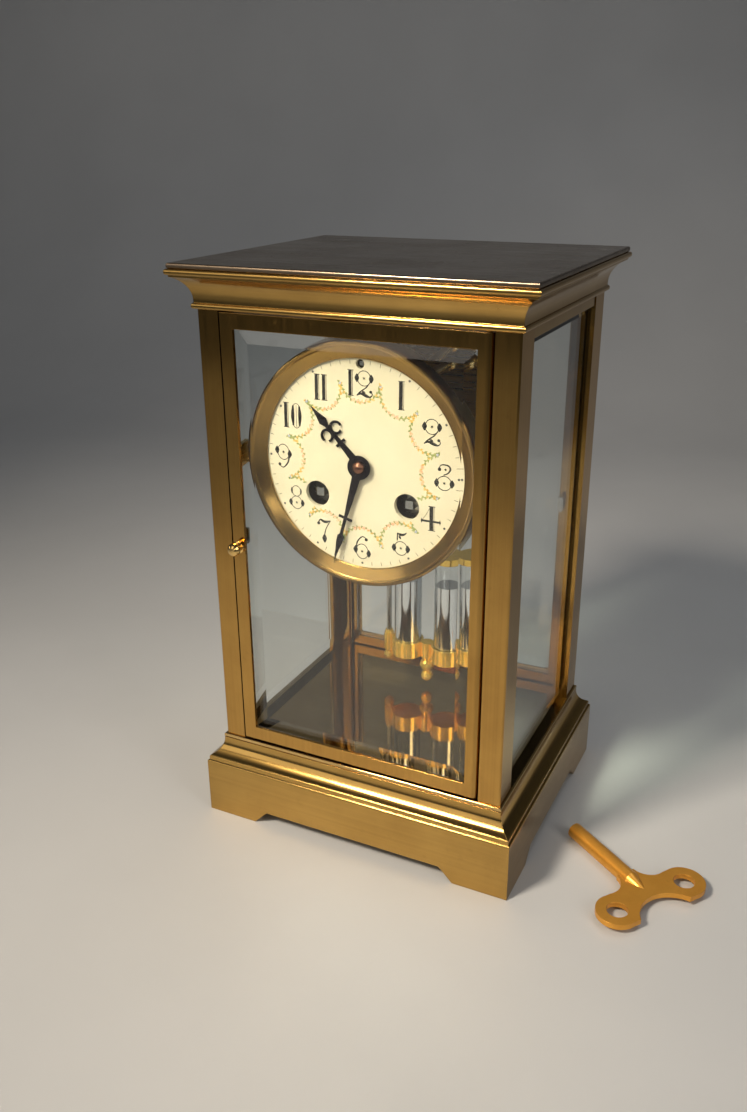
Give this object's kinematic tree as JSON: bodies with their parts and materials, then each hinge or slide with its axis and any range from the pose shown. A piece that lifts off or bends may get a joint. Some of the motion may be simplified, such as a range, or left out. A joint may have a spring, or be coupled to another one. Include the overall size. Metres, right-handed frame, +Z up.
{
  "type": "mantel clock",
  "caption": "Four-glass brass mantel clock with opening glass doors, enamel dial, striking movement, mercury pendulum and loose winding key.",
  "frame": {"origin": "middle of the base where the clock rests on its four bracket feet", "axes": "+Z up, -Y towards the viewer of the dial, +X to the viewer's right"},
  "size_m": [0.2263, 0.13, 0.255],
  "materials": {
    "case_brass": "polished",
    "top_brass": "polished, darkened",
    "movement_brass": "satin",
    "pendulum_brass": "polished",
    "key_brass": "worn",
    "steel": "satin",
    "blued_steel": "blued, gloss",
    "mercury": "mirror",
    "enamel": "gloss",
    "glass": "clear"
  },
  "bodies": {
    "case": {"base_plinth": "case_brass", "floor_plate": "case_brass", "case_screws": "steel", "pillar_front_left": "case_brass", "pillar_front_right": "case_brass", "pillar_rear_left": "case_brass", "pillar_rear_right": "case_brass", "side_glass_left": "glass", "side_glass_right": "glass", "cornice": "case_brass", "top_plate": "top_brass", "dial_bezel": "case_brass", "dial": "enamel", "movement_brackets": "movement_brass", "movement_screws": "steel", "movement_front_plate": "movement_brass", "movement_back_plate": "movement_brass", "movement_pillars": "movement_brass", "ratchet_clicks": "steel", "bell": "movement_brass", "bell_stand": "movement_brass", "suspension_cock": "movement_brass", "suspension_spring": "steel"},
    "front_door": {"front_door_frame": "case_brass", "front_door_glass": "glass"},
    "front_catch": {"front_catch_knob": "case_brass", "front_catch_tongue": "steel"},
    "rear_door": {"rear_door_frame": "case_brass", "rear_door_glass": "glass"},
    "rear_catch": {"rear_catch_knob": "case_brass", "rear_catch_tongue": "steel"},
    "minute_hand": {"minute_hand": "blued_steel", "hand_collet": "movement_brass", "cannon_pinion": "steel"},
    "minute_wheel": {"minute_wheel": "movement_brass"},
    "hour_hand": {"hour_hand": "blued_steel", "hour_wheel": "movement_brass"},
    "going_barrel": {"going_barrel": "movement_brass"},
    "going_arbor": {"going_arbor": "steel"},
    "intermediate_wheel": {"intermediate_wheel": "movement_brass"},
    "centre_wheel": {"centre_wheel": "movement_brass"},
    "third_wheel": {"third_wheel": "movement_brass"},
    "escape_wheel": {"escape_wheel": "movement_brass"},
    "strike_barrel": {"strike_barrel": "movement_brass"},
    "strike_arbor": {"strike_arbor": "steel"},
    "strike_second_wheel": {"strike_second_wheel": "movement_brass"},
    "pin_wheel": {"pin_wheel": "movement_brass"},
    "warning_wheel": {"warning_wheel": "movement_brass"},
    "fly": {"fly": "movement_brass"},
    "hammer": {"hammer": "steel"},
    "regulator_arbor": {"regulator_arbor": "steel"},
    "pallets": {"pallets_and_crutch": "steel"},
    "pendulum": {"pendulum_rod": "steel", "pendulum_top_plate": "pendulum_brass", "pendulum_side_rods": "steel", "mercury_jars": "glass", "mercury": "mercury", "pendulum_bottom_plate": "pendulum_brass", "pendulum_nuts": "pendulum_brass"},
    "winding_key": {"winding_key": "key_brass"}
  },
  "joints": [
    {"name": "front_door_hinge", "type": "hinge", "parent": "case", "child": "front_door", "pos_m": [0.0548, -0.054, 0.1387], "axis": [0, 0, 1], "range_deg": [0, 100]},
    {"name": "front_catch_turn", "type": "hinge", "parent": "front_door", "child": "front_catch", "pos_m": [-0.0544, -0.0565, 0.137], "axis": [0, 1, 0], "range_deg": [-90, 0]},
    {"name": "rear_door_hinge", "type": "hinge", "parent": "case", "child": "rear_door", "pos_m": [-0.0548, 0.054, 0.1387], "axis": [0, 0, 1], "range_deg": [0, 100]},
    {"name": "rear_catch_turn", "type": "hinge", "parent": "rear_door", "child": "rear_catch", "pos_m": [0.0544, 0.0565, 0.137], "axis": [0, -1, 0], "range_deg": [-90, 0]},
    {"name": "minute_hand_turn", "type": "hinge", "parent": "case", "child": "minute_hand", "pos_m": [0, -0.0482, 0.1775], "axis": [0, 1, 0], "continuous": true},
    {"name": "minute_wheel_turn", "type": "hinge", "parent": "case", "child": "minute_wheel", "pos_m": [0, -0.0386, 0.1679], "axis": [0, 1, 0], "continuous": true},
    {"name": "hour_hand_turn", "type": "hinge", "parent": "case", "child": "hour_hand", "pos_m": [0, -0.047, 0.1775], "axis": [0, 1, 0], "continuous": true},
    {"name": "third_wheel_turn", "type": "hinge", "parent": "case", "child": "third_wheel", "pos_m": [-0.00517, -0.026, 0.18843], "axis": [0, 1, 0], "continuous": true},
    {"name": "escape_wheel_turn", "type": "hinge", "parent": "case", "child": "escape_wheel", "pos_m": [0, -0.0222, 0.1975], "axis": [0, 1, 0], "continuous": true},
    {"name": "centre_wheel_turn", "type": "hinge", "parent": "case", "child": "centre_wheel", "pos_m": [0, -0.0026, 0.1775], "axis": [0, 1, 0], "continuous": true},
    {"name": "intermediate_wheel_turn", "type": "hinge", "parent": "case", "child": "intermediate_wheel", "pos_m": [0.01438, -0.0058, 0.18054], "axis": [0, 1, 0], "continuous": true},
    {"name": "going_barrel_turn", "type": "hinge", "parent": "case", "child": "going_barrel", "pos_m": [0.0202, -0.0326, 0.1633], "axis": [0, 1, 0], "continuous": true},
    {"name": "going_winding", "type": "hinge", "parent": "case", "child": "going_arbor", "pos_m": [0.0202, -0.0436, 0.1633], "axis": [0, 1, 0], "range_deg": [0, 1980]},
    {"name": "warning_wheel_turn", "type": "hinge", "parent": "case", "child": "warning_wheel", "pos_m": [-0.01177, -0.0196, 0.19906], "axis": [0, 1, 0], "continuous": true},
    {"name": "fly_turn", "type": "hinge", "parent": "case", "child": "fly", "pos_m": [-0.00754, -0.014, 0.20701], "axis": [0, 1, 0], "continuous": true},
    {"name": "pin_wheel_turn", "type": "hinge", "parent": "case", "child": "pin_wheel", "pos_m": [-0.02231, -0.0136, 0.19522], "axis": [0, 1, 0], "continuous": true},
    {"name": "strike_second_turn", "type": "hinge", "parent": "case", "child": "strike_second_wheel", "pos_m": [-0.01861, -0.009, 0.18143], "axis": [0, 1, 0], "continuous": true},
    {"name": "strike_barrel_turn", "type": "hinge", "parent": "case", "child": "strike_barrel", "pos_m": [-0.0202, -0.0326, 0.1633], "axis": [0, 1, 0], "continuous": true},
    {"name": "strike_winding", "type": "hinge", "parent": "case", "child": "strike_arbor", "pos_m": [-0.0202, -0.0436, 0.1633], "axis": [0, 1, 0], "range_deg": [0, 1980]},
    {"name": "hammer_lift", "type": "hinge", "parent": "case", "child": "hammer", "pos_m": [-0.0344, 0.0326, 0.1929], "axis": [0, 1, 0], "range_deg": [0, 12], "stiffness_Nm_per_rad": 0.002},
    {"name": "regulator_turn", "type": "hinge", "parent": "case", "child": "regulator_arbor", "pos_m": [0, -0.044, 0.2187], "axis": [0, 1, 0], "range_deg": [-720, 720]},
    {"name": "pendulum_swing", "type": "hinge", "parent": "case", "child": "pendulum", "pos_m": [0, 0.025, 0.2085], "axis": [0, 1, 0], "range_deg": [-4, 4]},
    {"name": "crutch_swing", "type": "hinge", "parent": "case", "child": "pallets", "pos_m": [0, 0.01, 0.2085], "axis": [0, 1, 0], "range_deg": [-4, 4]},
    {"name": "key_lift", "type": "slide", "parent": "case", "child": "winding_key", "axis": [0, 0, 1], "range_m": [0, 0.08]}
  ],
  "couplings": [
    {"joint": "minute_wheel_turn", "follows": "minute_hand_turn", "ratio": -0.33333},
    {"joint": "hour_hand_turn", "follows": "minute_hand_turn", "ratio": 0.083333},
    {"joint": "escape_wheel_turn", "follows": "third_wheel_turn", "ratio": -11},
    {"joint": "centre_wheel_turn", "follows": "third_wheel_turn", "ratio": -0.083333},
    {"joint": "intermediate_wheel_turn", "follows": "third_wheel_turn", "ratio": 0.013889},
    {"joint": "going_barrel_turn", "follows": "third_wheel_turn", "ratio": -0.0023148},
    {"joint": "fly_turn", "follows": "warning_wheel_turn", "ratio": -9},
    {"joint": "pin_wheel_turn", "follows": "warning_wheel_turn", "ratio": -0.1},
    {"joint": "strike_second_turn", "follows": "warning_wheel_turn", "ratio": 0.013333},
    {"joint": "strike_barrel_turn", "follows": "warning_wheel_turn", "ratio": -0.0022222},
    {"joint": "crutch_swing", "follows": "pendulum_swing", "ratio": 1}
  ]
}
